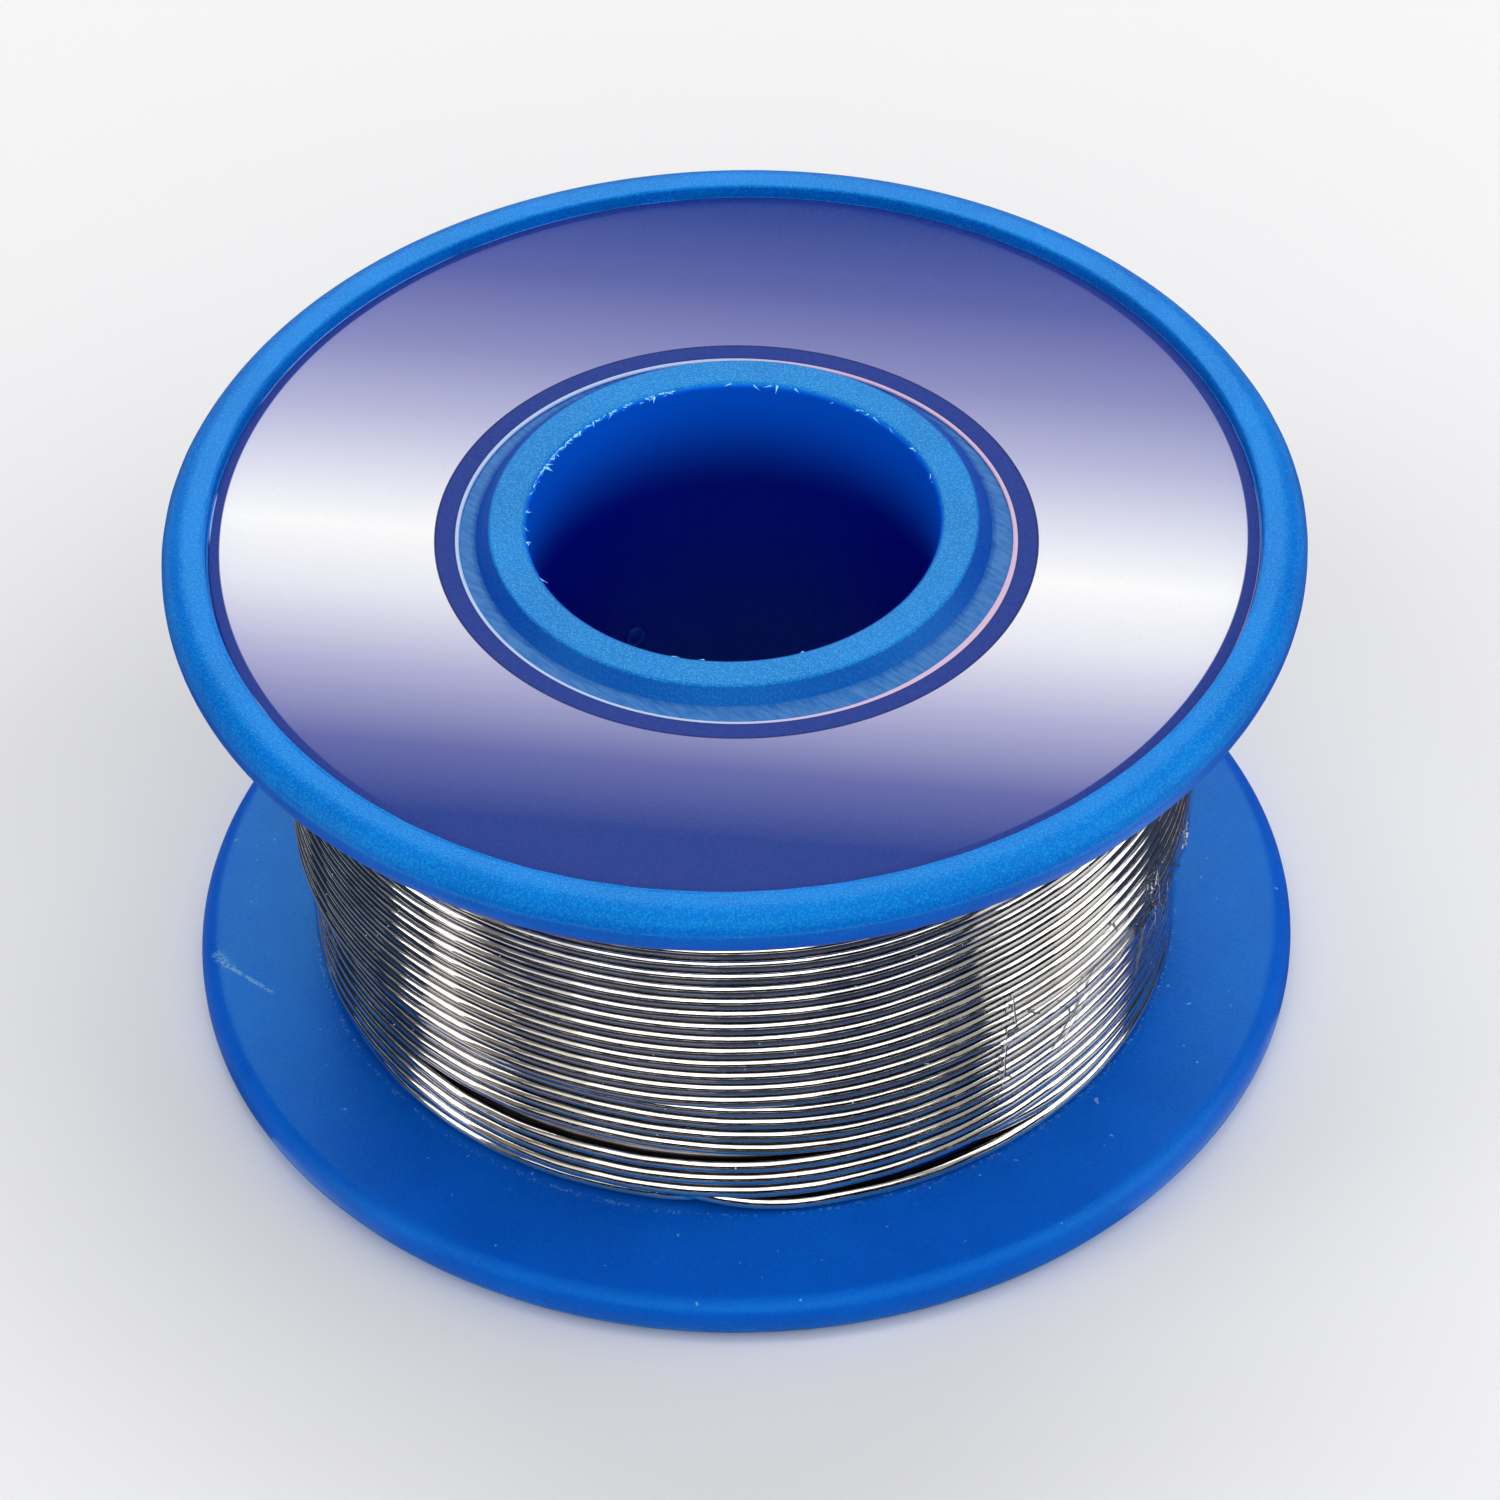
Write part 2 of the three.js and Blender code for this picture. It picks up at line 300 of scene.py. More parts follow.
def bore_flecks():
    """Slivers of flash round the top edge of the bore, most of them at the back left."""
    source = np.random.default_rng(41)
    azimuths = []
    for first, last, count in FLECK_CLUSTERS:
        azimuths += np.radians(source.uniform(first, last, count)).tolist()
    points = []
    faces = []
    for azimuth in azimuths:
        out, side = axes_at(azimuth)
        height = SPOOL_HEIGHT - source.uniform(0.04, 0.2)
        centre = out * (BORE_RADIUS + 0.06) + UP * height
        lean = source.uniform(-3.2, 3.2)
        along = -out * source.uniform(0.1, 0.7) + side * lean + UP * source.uniform(-0.4, 0.2)
        along /= np.linalg.norm(along)
        length = source.uniform(0.12, 0.4)
        half = side * source.uniform(0.04, 0.12) / 2
        corners = (centre + half, centre - half, centre + UP * 0.07, centre + along * length)
        first = len(points)
        points += [(x, y, min(z, FLECK_CEILING)) for x, y, z in corners]
        faces += [tuple(first + corner for corner in face) for face in FLECK_FACES]
    return points, faces


def gate_mark():
    """The low round pip on the bore's wall, where the plastic ran in."""
    out, side = axes_at(GATE_TURN)
    centre = out * (BORE_RADIUS + 0.02) + UP * GATE_HEIGHT
    points = []
    for radius, height in GATE_RINGS:
        for turn in np.arange(GATE_SIDES) * math.tau / GATE_SIDES:
            spread = side * radius * math.cos(turn) + UP * radius * math.sin(turn)
            points.append(centre + spread - out * (height + 0.02))
    points.append(centre - out * (GATE_TIP + 0.02))
    faces = ring_faces(len(GATE_RINGS), GATE_SIDES)
    last = (len(GATE_RINGS) - 1) * GATE_SIDES
    for step in range(GATE_SIDES):
        faces.append((last + step, len(points) - 1, last + (step + 1) % GATE_SIDES))
    faces.append(tuple(range(GATE_SIDES)))
    return points, faces


def make_spool():
    """The moulding with the gate's pip, and last the flecks of flash, which have their own look."""
    upper, ridge_row, burr_row = flange_end_profile()
    profile = upper + [(radius, -height) for radius, height in reversed(upper)]
    grid, faces = lathe(profile, SPOOL_SEGMENTS)
    last = len(profile) - 1
    shape_ridge(grid, ridge_row, 5)
    shape_ridge(grid, last - ridge_row, 6)
    shape_burr(grid, burr_row, 7, 1)
    shape_burr(grid, last - burr_row - 1, 8, -1)
    grid[:, :, 2] += HALF_HEIGHT
    points = grid.reshape(-1, 3).tolist()
    for extra_points, extra_faces in (gate_mark(), bore_flecks()):
        first = len(points)
        plastic_faces = len(faces)
        points += [list(point) for point in extra_points]
        faces += [tuple(first + corner for corner in face) for face in extra_faces]
    spool = mesh_object("spool_moulding", points, faces)
    flash_faces = range(plastic_faces, len(faces))
    paint(spool, [plastic_material(), flash_material()], {1: flash_faces})
    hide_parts("spool")
    return spool


# The label.

def make_label():
    floor = SPOOL_HEIGHT - RECESS_DEPTH
    top = floor + LABEL_THICKNESS
    inner = LABEL_INNER_RADIUS
    outer = LABEL_OUTER_RADIUS
    profile = [(inner + 0.01, floor), (outer - 0.01, floor), (outer, floor + 0.02)]
    profile += [(outer, top - 0.03), (outer - 0.02, top - 0.006), (outer - 0.06, top)]
    profile += between((outer - 0.06, top), (inner + 0.06, top), (0.1, 0.3, 0.5, 0.7, 0.9, 1.0))
    profile += [(inner + 0.02, top - 0.006), (inner, top - 0.03), (inner, floor + 0.02)]
    grid, faces = lathe(profile, SPOOL_SEGMENTS)
    turns = np.arange(SPOOL_SEGMENTS) * math.tau / SPOOL_SEGMENTS
    terms = (np.cos(turns), np.sin(turns), np.cos(2 * turns), np.sin(2 * turns))
    shift = sum(share * term for share, term in zip(HOLE_SHIFT, terms))
    away = (np.degrees(turns) - PALE_EDGE_AZIMUTH) / PALE_EDGE_SPREAD
    shift = shift - PALE_EDGE_WIDTH * np.exp(-away ** 2)
    radii = np.hypot(grid[:, :, 0], grid[:, :, 1])
    near = np.clip((HOLE_SHIFT_END - radii) / (HOLE_SHIFT_END - inner), 0.0, 1.0)
    grid[:, :, :2] *= (1 + shift[:, None] * near / radii)[:, :, None]
    label = mesh_object("face_label_sheet", grid, faces)
    paint(label, [label_material()])
    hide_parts("face_label")
    return label


# The winding. Each turn has knots of azimuth, radius and height between the two ends of the
# crossing at the back, and passes over to the next turn there.

CROSSING_START = 120.0
LAYER_KNOTS = np.array([-120, -90, -70, -60, -50, -40, -30, -20, -10, 0, 10, 20, 30, 45, 60, 75,
                        90, 120], dtype=float)
LOW_SWAY = np.array([-.02, 0, .07, .2, .22, .05, 0, 0, 0, 0, .06, .19, .33, .5, .36, .32, .3, .3])
HIGH_SWAY = np.array([-.31, -.28, -.2, -.06, .06, .1, .17, .2, .12, 0, -.13, -.13, 0, .13, 0, -.05,
                      -.05, -.05])
LOW_TURNS = (3.21, 3.87, 4.57)
HIGH_TURNS = (5.53, 6.20, 6.90, 7.57, 8.24, 8.90, 9.56, 10.22)
# The two lowest turns rest on the flange: rows of azimuths, radii and heights. The first dives
# inwards near the front, and the second comes out there.
FOOT_TURNS = (
    ((-120, -20, -9, -2, 5, 15, 26, 33, 42, 60, 75, 120),
     (16.2, 16.2, 16.1, 15.78, 15.7, 15.85, 15.95, 16.25, 16.5, 16.52, 16.45, 16.15),
     (2.4, 2.4, 2.4, 2.42, 2.55, 2.95, 2.96, 2.99, 3.03, 3.0, 2.98, 2.98)),
    ((-120, -24, -15, -8, -3, 3, 12, 120),
     (15.7, 15.75, 15.92, 16.3, 16.48, 16.54, 16.54, 16.54),
     (2.86, 2.86, 2.84, 2.76, 2.6, 2.42, 2.4, 2.4)),
)


def eased(knots, values, wanted):
    """Values between knots on a smooth cubic curve."""
    index = np.clip(np.searchsorted(knots, wanted) - 1, 0, len(knots) - 2)
    span = knots[index + 1] - knots[index]
    share = (wanted - knots[index]) / span
    slopes = np.gradient(values, knots)
    square = share * share
    cube = square * share
    start = (2 * cube - 3 * square + 1) * values[index]
    start += (cube - 2 * square + share) * span * slopes[index]
    end = (3 * square - 2 * cube) * values[index + 1]
    end += (cube - square) * span * slopes[index + 1]
    return start + end


def lower_turn(index, azimuths):
    """Radius and height of one turn of the lower layer, counted from the flange upwards."""
    if index < len(FOOT_TURNS):
        knots, radii, heights = np.array(FOOT_TURNS[index], dtype=float)
        return eased(knots, radii, azimuths), eased(knots, heights, azimuths)
    low = index - len(FOOT_TURNS)
    high = low - len(LOW_TURNS)
    if high < 0:
        heights = LOW_TURNS[low] + eased(LAYER_KNOTS, LOW_SWAY, azimuths)
    else:
        heights = HIGH_TURNS[high] + eased(LAYER_KNOTS, HIGH_SWAY, azimuths)
    return np.full_like(azimuths, LOWER_RADIUS), heights


def top_turn(index, azimuths):
    """Radius and height of one turn of the top layer, counted from the free end upwards."""
    room = 1 - np.clip((index - 8) / 9, 0, 1)
    rise = (0.27 + 0.018 * index) * smoothstep((azimuths - 10) / 26) * room
    return np.full_like(azimuths, TOP_RADIUS), TOP_FIRST_HEIGHT + TOP_PITCH * index + rise


def layer_path(turn_of, order, last_azimuth):
    """The wire's centreline through the turns in their order, as azimuth, radius and height. Past
    the crossing's start it eases over to the next turn."""
    total = (len(order) - 1) * 360 + last_azimuth - LAYER_START
    steps = int(round(total * STEPS_PER_TURN / 360))
    run = LAYER_START + np.linspace(0, total, steps + 1)
    turns = np.floor((run + CROSSING_START) / 360).astype(int)
    local = run - turns * 360
    turns = np.clip(turns, 0, len(order) - 1)
    radii = np.empty_like(run)
    heights = np.empty_like(run)
    for place, index in enumerate(order):
        here = turns == place
        azimuths = local[here]
        radius, height = turn_of(index, np.clip(azimuths, -CROSSING_START, CROSSING_START))
        if place + 1 < len(order):
            start = np.array([-CROSSING_START])
            next_radius, next_height = turn_of(order[place + 1], start)
            share = smoothstep((azimuths - CROSSING_START) / (360 - 2 * CROSSING_START))
            radius = radius + (next_radius[0] - radius) * share
            height = height + (next_height[0] - height) * share
        radii[here] = radius
        heights[here] = height
    return run, radii, heights


def start_dive(run, depth, reach):
    """How far a layer's first degrees lie inside the rest of it."""
    return depth * (1 - smoothstep((run - LAYER_START) / reach))


def wire_mesh(run, radii, heights, seed):
    """A tube along the wire's centreline. Returns its points, its faces and the centreline."""
    radii = radii + waves(run, seed, SHAKE_COUNTS, SHAKE)
    heights = heights + waves(run, seed + 1, SHAKE_COUNTS, SHAKE)
    azimuths = np.radians(run)
    outward = around(azimuths, 1.0, 0.0)
    centres = around(azimuths, radii, heights)
    turns = np.arange(WIRE_SIDES) * math.tau / WIRE_SIDES
    rings = centres[:, None, :] + outward[:, None, :] * (WIRE_RADIUS * np.cos(turns))[None, :, None]
    rings[:, :, 2] += (WIRE_RADIUS * np.sin(turns))[None, :]
    return rings.reshape(-1, 3).tolist(), ring_faces(len(run), WIRE_SIDES), centres


def close_end(points, faces, ring, centre, facing):
    """Closes one end of a tube with a flat cut round the flux core. Returns the numbers of the
    core's faces."""
    first = ring * WIRE_SIDES
    inner = len(points)
    rims = np.array(points[first:first + WIRE_SIDES])
    points += (centre + (rims - centre) * FLUX_CORE_SHARE).tolist()
    points.append(centre.tolist())
    core_faces = []
    for side in range(WIRE_SIDES):
        after = (side + 1) % WIRE_SIDES
        outer_face = (first + side, first + after, inner + after, inner + side)
        core_face = (inner + side, inner + after, inner + WIRE_SIDES)
        faces.append(outer_face[::facing])
        core_faces.append(len(faces))
        faces.append(core_face[::facing])
    return core_faces


def make_layer(name, node, run, radii, heights, seed, materials):
    """A layer of wire in place of a node. Its materials are the wire's, the cut's and the core's."""
    points, faces, centres = wire_mesh(run, radii, heights, seed)
    tube_faces = len(faces)
    core_faces = close_end(points, faces, 0, centres[0], -1)
    core_faces += close_end(points, faces, len(run) - 1, centres[-1], 1)
    layer = mesh_object(name, points, faces)
    add_wire_uv(layer, len(run), tube_faces)
    paint(layer, materials, {1: range(tube_faces, len(faces)), 2: core_faces})
    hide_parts(node)
    return layer


def add_wire_uv(layer, rings, tube_faces):
    """U is the turn along the wire, and V is the turn round it."""
    mesh = layer.data
    uv = mesh.uv_layers.new(name="along_wire")
    corners = np.zeros((len(mesh.loops), 2))
    ring = np.repeat(np.arange(rings - 1), WIRE_SIDES)
    side = np.tile(np.arange(WIRE_SIDES), rings - 1)
    order = ((0, 0), (1, 0), (1, 1), (0, 1))
    for corner, (ahead, aside) in enumerate(order):
        places = np.arange(tube_faces) * 4 + corner
        corners[places, 0] = (ring + ahead) / STEPS_PER_TURN
        corners[places, 1] = (side + aside) / WIRE_SIDES
    uv.data.foreach_set("uv", corners.reshape(-1))


def make_lower_layer(materials):
    order = range(len(FOOT_TURNS) + len(LOW_TURNS) + len(HIGH_TURNS))
    run, radii, heights = layer_path(lower_turn, order, LOWER_END_AZIMUTH)
    radii = radii - start_dive(run, 0.9, 26)
    return make_layer("lower_layer_wire", "solder_lower_layer", run, radii, heights, 21, materials)


def make_top_layer(materials):
    order = range(TOP_TURNS - 1, -1, -1)
    run, radii, heights = layer_path(top_turn, order, FREE_END_AZIMUTH)
    radii = radii - start_dive(run, 0.5, 30)
    return make_layer("top_layer_wire", "solder_top_layer", run, radii, heights, 31, materials)


def make_core():
    """The layers inside the visible ones, ribbed where their turns can be seen."""
    inner = BARREL_RADIUS + 0.02
    foot = flange_thickness_at(inner) + 0.02
    profile = [(inner, foot), (15.3, foot + 0.05), (15.4, 3.0)]
    height = 5.16 - 3 * TURN_PITCH
    while height < 10.6:
        profile += arc(CORE_RIB_RADIUS, height, WIRE_RADIUS, -80, 80, 6)
        height += TURN_PITCH
    top = SPOOL_HEIGHT - flange_thickness_at(16.6)
    profile += [(16.3, height), (16.55, height + 0.4), (16.55, top - 0.05), (16.5, top - 0.02)]
    profile += [(inner, SPOOL_HEIGHT - flange_thickness_at(inner) - 0.02)]
    grid, faces = lathe(profile, 240)
    core = mesh_object("inner_layers_wire", grid, faces)
    paint(core, [shaded_core_material()])
    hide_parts("solder_inner_layers")
    return core


# The tape.

def tape_radius(heights):
    """The film's inner radius: it lies on the lower layer, and steps out over the free end."""
    low = LOWER_RADIUS + WIRE_RADIUS + TAPE_CLEARANCE
    high = TOP_RADIUS + WIRE_RADIUS + TAPE_CLEARANCE
    return low + (high - low) * smoothstep((heights - TAPE_STEP_FOOT) / TAPE_STEP_HEIGHT)


def crease(azimuths, heights, start, end, width, depth):
    """A fold along a straight line between two places, each an azimuth and a height."""
    scale = math.radians(TOP_RADIUS)
    along = np.array([(end[0] - start[0]) * scale, end[1] - start[1]])
    length = np.linalg.norm(along)
    along /= length
    across = (azimuths - start[0]) * scale
    up = heights - start[1]
    place = across * along[0] + up * along[1]
    off = across * -along[1] + up * along[0]
    ends = smoothstep(place / (0.15 * length)) * smoothstep((length - place) / (0.15 * length))
    return depth * ends * np.exp(-(off / width) ** 2)


# Folds in the film: two ends, each an azimuth and a height, a width and a depth.
TAPE_CREASES = (
    ((54.3, 9.2), (42.3, 5.8), 0.09, 0.05),
    ((46, 10.2), (55, 6.6), 0.10, 0.06),
    ((60, 5.2), (66, 9.8), 0.12, 0.07),
    ((61, 9.6), (69, 7.4), 0.10, 0.09),
    ((64, 11.0), (72, 8.6), 0.10, 0.09),
    ((70, 5.6), (77, 10.4), 0.14, 0.07),
    ((84, 5.0), (89, 10.8), 0.12, 0.06),
    ((96, 10.6), (104, 6.0), 0.12, 0.06),
)
# Places where the film is crumpled: azimuth, height and radius.
TAPE_CRUMPLES = (
    (61.0, 10.7, 0.9),
    (66.8, 7.9, 0.8),
    (59.4, 8.6, 0.4),
    (74.0, 9.6, 0.9),
    (90.0, 6.6, 1.0),
    (108.0, 9.4, 1.1),
)


def crumple(azimuths, heights, centre, height, reach):
    """Small folds that die out from a centre."""
    across = np.radians(azimuths - centre) * TOP_RADIUS
    up = heights - height
    share = np.exp(-(across ** 2 + up ** 2) / reach ** 2)
    folds = np.sin(across * 11 + up * 4) * np.cos(up * 9 - across * 5) + 0.6 * np.sin(up * 17)
    return 0.035 * share * (1 + folds)


def make_tape():
    across, up = np.meshgrid(np.linspace(0, 1, TAPE_COLUMNS + 1), np.linspace(0, 1, TAPE_ROWS + 1),
                             indexing="ij")
    azimuths = TAPE_START + TAPE_ARC * across
    heights = TAPE_FOOT + TAPE_WIDTH * up
    torn = waves(heights * 60, 55, (1.3, 3.1, 7.7), 0.45)
    azimuths = azimuths + torn * np.clip(1 - across * 12, 0, 1)
    radii = tape_radius(heights)
    radii += waves(azimuths + heights * 5, 51, (4.1, 9.3, 17.7), 0.02)
    radii += waves(azimuths - heights * 8, 52, (6.1, 13.7, 29.3), 0.014)
    for start, end, width, depth in TAPE_CREASES:
        radii += crease(azimuths, heights, start, end, width, depth)
    for centre, height, reach in TAPE_CRUMPLES:
        radii += crumple(azimuths, heights, centre, height, reach)
    lift = 0.12 * smoothstep((0.014 - across) / 0.014)
    radii += lift * (0.5 + 0.5 * np.sin(heights * 2.3))
    turns = np.radians(azimuths)
    sheets = [around(turns, radii + outward, heights) for outward in (0.0, TAPE_THICKNESS)]
    points = np.concatenate([sheet.reshape(-1, 3) for sheet in sheets])
    faces, film_faces = tape_faces(TAPE_COLUMNS, TAPE_ROWS)
    tape = mesh_object("end_tape_film", points, faces)
    end_faces = range(film_faces, len(faces))
    paint(tape, [tape_material(), tape_edge_material()], {1: end_faces})
    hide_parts("end_tape")
    return tape


def tape_faces(columns, rows):
    """Faces of the film's sheets and long edges, then of its two ends, and how many come before
    the ends."""
    pitch = rows + 1
    other = (columns + 1) * pitch
    faces = []
    for column in range(columns):
        for row in range(rows):
            a = column * pitch + row
            b = a + pitch
            faces.append((a, a + 1, b + 1, b))
            faces.append((other + a, other + b, other + b + 1, other + a + 1))
    for column in range(columns):
        a = column * pitch
        b = a + pitch
        faces.append((a, b, other + b, other + a))
        a += rows
        b += rows
        faces.append((a, other + a, other + b, b))
    film_faces = len(faces)
    for a in range(rows):
        b = columns * pitch + a
        faces.append((a, other + a, other + a + 1, a + 1))
        faces.append((b, b + 1, other + b + 1, other + b))
    return faces, film_faces


# Materials.

def linear(red, green, blue):
    """A colour of 0 to 255 as scene-linear values."""
    made = []
    for level in (red, green, blue):
        share = level / 255
        made.append(share / 12.92 if share <= 0.04045 else ((share + 0.055) / 1.055) ** 2.4)
    return (*made, 1.0)


class Nodes:
    """Short calls for the nodes of a new material, or of a world that is given."""

    def __init__(self, name, world=None):
        self.material = world or bpy.data.materials.new(name)
        self.material.use_nodes = True
        self.tree = self.material.node_tree
        self.shader = self.tree.nodes["Background" if world else "Principled BSDF"]

    def feed(self, socket, value):
        if isinstance(value, (int, float, tuple)):
            socket.default_value = value
        else:
            self.tree.links.new(value, socket)

    def add(self, kind, inputs=(), **settings):
        """A new node with its settings, and with its inputs fed in order or by name."""
        made = self.tree.nodes.new(kind)
        for key, value in settings.items():
            setattr(made, key, value)
        for key, value in inputs.items() if isinstance(inputs, dict) else enumerate(inputs):
            self.feed(made.inputs[key], value)
        return made

    def shade(self, values):
        """Feeds the shader's inputs by name, and returns the material."""
        for name, value in values.items():
            self.feed(self.shader.inputs[name], value)
        return self.material

    def math(self, operation, first, second=0.0):
        return self.add("ShaderNodeMath", (first, second), operation=operation).outputs[0]

    def less(self, first, second):
        return self.math("SUBTRACT", first, second)

    def most(self, first, *others):
        for other in others:
            first = self.math("MAXIMUM", first, other)
        return first

    def product(self, first, *others):
        for other in others:
            first = self.math("MULTIPLY", first, other)
        return first

    def ramp(self, value, low, high):
        """0 at low and 1 at high, with soft ends."""
        ends = {"Value": value, "From Min": low, "From Max": high}
        return self.add("ShaderNodeMapRange", ends, interpolation_type="SMOOTHSTEP").outputs["Result"]

    def scale(self, value, low, high):
        """Maps 0..1 to low..high."""
        ends = {"Value": value, "To Min": low, "To Max": high}
        return self.add("ShaderNodeMapRange", ends).outputs["Result"]

    def mix(self, share, first, second):
        """Mixes two colours, each of them an output or three levels of 0 to 255."""
        colours = [linear(*c) if isinstance(c, tuple) else c for c in (first, second)]
        inputs = {0: share, 6: colours[0], 7: colours[1]}
        return self.add("ShaderNodeMix", inputs, data_type="RGBA").outputs[2]

    def noise(self, vector, scale, detail=2.0, rough=0.5):
        inputs = {"Vector": vector, "Scale": scale, "Detail": detail, "Roughness": rough}
        return self.add("ShaderNodeTexNoise", inputs).outputs["Fac"]

    def place(self):
        """The object's own coordinates in metres."""
        return self.add("ShaderNodeTexCoord").outputs["Object"]

    def split(self, vector):
        return self.add("ShaderNodeSeparateXYZ", (vector,)).outputs

    def combine(self, x, y):
        return self.add("ShaderNodeCombineXYZ", (x, y)).outputs[0]

    def radius(self, x, y):
        return self.math("SQRT", self.math("ADD", self.product(x, x), self.product(y, y)))

    def band(self, value, low, high, edge):
        """1 between low and high, with an edge of the given width."""
        return self.product(self.ramp(value, low, low + edge), self.ramp(value, high, high - edge))

    def line(self, across, up, start, end, width):
        """1 along a straight line between two places of a surface, and 0 away from it."""
        length = math.dist(start, end)
        along = (end[0] - start[0]) / length
        aside = (end[1] - start[1]) / length
        across = self.less(across, start[0])
        up = self.less(up, start[1])
        ahead = self.math("ADD", self.product(across, along), self.product(up, aside))
        off = self.math("ADD", self.product(across, -aside), self.product(up, along))
        near = self.ramp(self.math("ABSOLUTE", off), width, 0.3 * width)
        return self.product(near, self.band(ahead, 0.0, length, 0.12 * length))

    def spot(self, across, up, centre, reach):
        """1 at a place of a surface, dying out with the distance from it."""
        off = self.radius(self.less(across, centre[0]), self.less(up, centre[1]))
        return self.ramp(off, reach, 0.2 * reach)

    def bump(self, height, strength, distance):
        inputs = {"Strength": strength, "Distance": distance, "Height": height}
        self.feed(self.shader.inputs["Normal"], self.add("ShaderNodeBump", inputs).outputs[0])


# Where the plastic's tones change, in metres: first radii, then heights above or below the middle.
CONE_BAND = (0.00918, 0.0099)
RING_FLOOR_BAND = (0.00966, 0.0115)
HUB_TO_RIM = (0.009, 0.015)
BORE_WALL = (0.00786, 0.0078)
# The radius inside which the gate's pip gets its painted lighter tone.
GATE_PIP = (0.0077, 0.00762)
WIRE_FOOT_BAND = (0.0167, 0.01698)
SEAM_RADII = (0.02125, 0.0213)
# Heights where the painted shade of the inner faces gives way to the lighter painted tone of the
# outer faces.
INNER_TO_OUTER = (0.0100, 0.0107)
# Heights where the painted shade of the hub's cone side ends.
CONE_TO_OUTER = (0.0100, 0.0104)
FLOOR_BAND = (0.0104, 0.0106)
# Heights over which the bore's painted shade deepens.
BORE_SHADE_DEPTHS = (0.0107, 0.0059)
SEAM_HEIGHT = (HALF_HEIGHT - PARTING_LINE_DROP) * MM
SEAM_BAND = (SEAM_HEIGHT - 0.00004, SEAM_HEIGHT + 0.00004)
# The lower flange's upper side, in metres above the bench.
FLANGE_TOP_BAND = (0.0016, 0.0026)
# Turned grooves of the mould, in radians for each metre of radius.
MOULD_TURNING = 26000.0


def plastic_material():
    n = Nodes("moulded_blue_plastic")
    place = n.place()
    x, y, z = n.split(place)
    radius = n.radius(x, y)
    from_middle = n.math("ABSOLUTE", n.less(z, HALF_HEIGHT * MM))
    cone = n.band(radius, *CONE_BAND, 0.00004)
    outer = n.product(n.ramp(from_middle, *INNER_TO_OUTER), n.less(1.0, cone))
    outwards = n.ramp(radius, *HUB_TO_RIM)
    cloud = n.ramp(n.noise(place, 220.0, 3.0), 0.3, 0.7)
    grain = n.noise(place, 8000.0, 2.0, 0.6)
    # Painted light and shade: the outward faces of the flanges and hub get lighter, more cyan tones,
    # and the faces towards the winding get a darker tone.
    shaded_inner_tone = n.mix(cloud, (0, 84, 206), (0, 93, 218))
    lit_rim_tone = n.mix(cloud, (0, 103, 208), (0, 114, 222))
    lit_hub_tone = n.mix(cloud, (0, 104, 196), (0, 115, 208))
    body = n.mix(outer, shaded_inner_tone, n.mix(outwards, lit_hub_tone, lit_rim_tone))
    # Painted shade: the side of the hub's cone is painted darker.
    painted_cone_shade = n.product(cone, n.ramp(from_middle, *CONE_TO_OUTER))
    body = n.mix(painted_cone_shade, body, (0, 68, 176))
    # Painted sheen: light specks, most of them on the outer faces, and darker grains from the same
    # noise, together a painted speckled sheen.
    speckle = n.noise(place, 11500.0, 2.0, 0.7)
    painted_sheen_specks = n.product(n.ramp(speckle, 0.5, 0.62), n.scale(outer, 0.1, 0.4))
    painted_sheen_tone = n.mix(outwards, (84, 178, 240), (24, 178, 248))
    body = n.mix(painted_sheen_specks, body, painted_sheen_tone)
    painted_dark_grains = n.product(n.ramp(speckle, 0.44, 0.32), n.scale(outer, 0.1, 0.36))
    body = n.mix(painted_dark_grains, body, (0, 66, 160))
    floor, strokes = ring_floor_strokes(n, x, y, radius, from_middle)
    body = n.mix(floor, body, n.mix(strokes, (20, 74, 166), (66, 104, 182)))
    # Painted shade: the bore's wall is painted a lighter blue near its top and darker with depth.
    painted_bore_shade = n.mix(n.ramp(from_middle, *BORE_SHADE_DEPTHS), (0, 106, 250), (0, 0, 142))
    body = n.mix(n.ramp(radius, *BORE_WALL), body, painted_bore_shade)
    # The gate's pip is painted lighter than the painted bore shade round it, a painted highlight.
    body = n.mix(n.ramp(radius, *GATE_PIP), body, (24, 92, 176))
    # Real scuffs and dust, and the painted highlight along the parting lines, all mixed to one pale
    # tone.
    wear_and_seam_highlight = n.most(flange_wear(n, place, radius, grain), seam(n, radius, from_middle))
    body = n.mix(wear_and_seam_highlight, body, (150, 200, 240))
    turned = n.math("SINE", n.product(radius, MOULD_TURNING))
    n.bump(n.math("ADD", grain, n.product(turned, 0.03)), 0.5, 0.00003)
    rough = n.scale(n.noise(place, 900.0, 3.0), 0.34, 0.48)
    return n.shade({"Base Color": body, "Roughness": rough, "Specular IOR Level": 0.6,
                    "Specular Tint": (0.1, 0.95, 1.0, 1.0)})


def ring_floor_strokes(n, x, y, radius, from_middle):
    """The bare ring of the recess's floor inside the label, and the slanting strokes on it."""
    slant = n.combine(n.product(n.math("ADD", x, y), 4200.0), n.product(n.less(x, y), 700.0))
    strokes = n.ramp(n.noise(slant, 1.0, 3.0, 0.6), 0.3, 0.7)
    floor = n.band(from_middle, *FLOOR_BAND, 0.00003)
    ring = n.band(radius, *RING_FLOOR_BAND, 0.00006)
    return n.product(floor, ring), strokes


